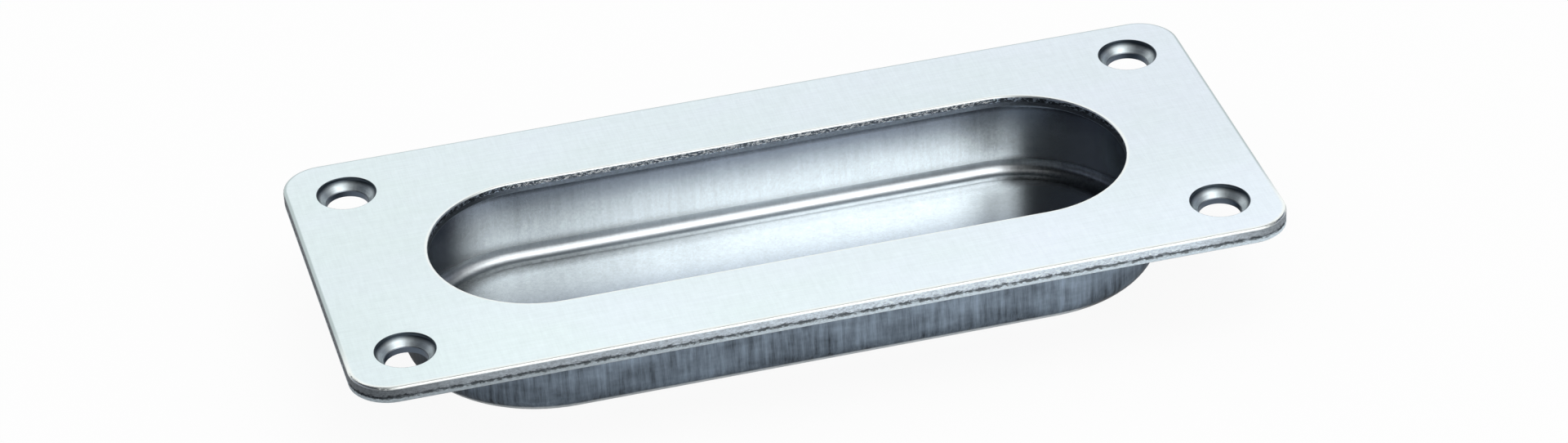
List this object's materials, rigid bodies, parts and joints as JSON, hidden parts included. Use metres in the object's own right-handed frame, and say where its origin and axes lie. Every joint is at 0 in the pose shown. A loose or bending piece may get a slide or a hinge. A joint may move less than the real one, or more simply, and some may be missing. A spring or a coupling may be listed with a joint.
{
  "type": "recessed pull handle",
  "caption": "Oblong flush handle for a sliding door: a punched and countersunk face plate over a drawn cup whose window edge overhangs as a finger lip.",
  "frame": {"origin": "centre of the screw pattern, on the flange's back, which seats on the door's face", "axes": "+X along the handle, +Y across it, +Z out of the door; the cup sinks into the door below z = 0"},
  "size_m": [0.125, 0.055, 0.015],
  "materials": {
    "face_plate": "satin stainless steel, finely brushed on the face, sheared and rough on the edges",
    "finger_cup": "bright drawn stainless steel inside, with draw streaks on the outer wall"
  },
  "bodies": {
    "root": {"face_plate": "face_plate", "finger_cup": "finger_cup"}
  },
  "joints": []
}
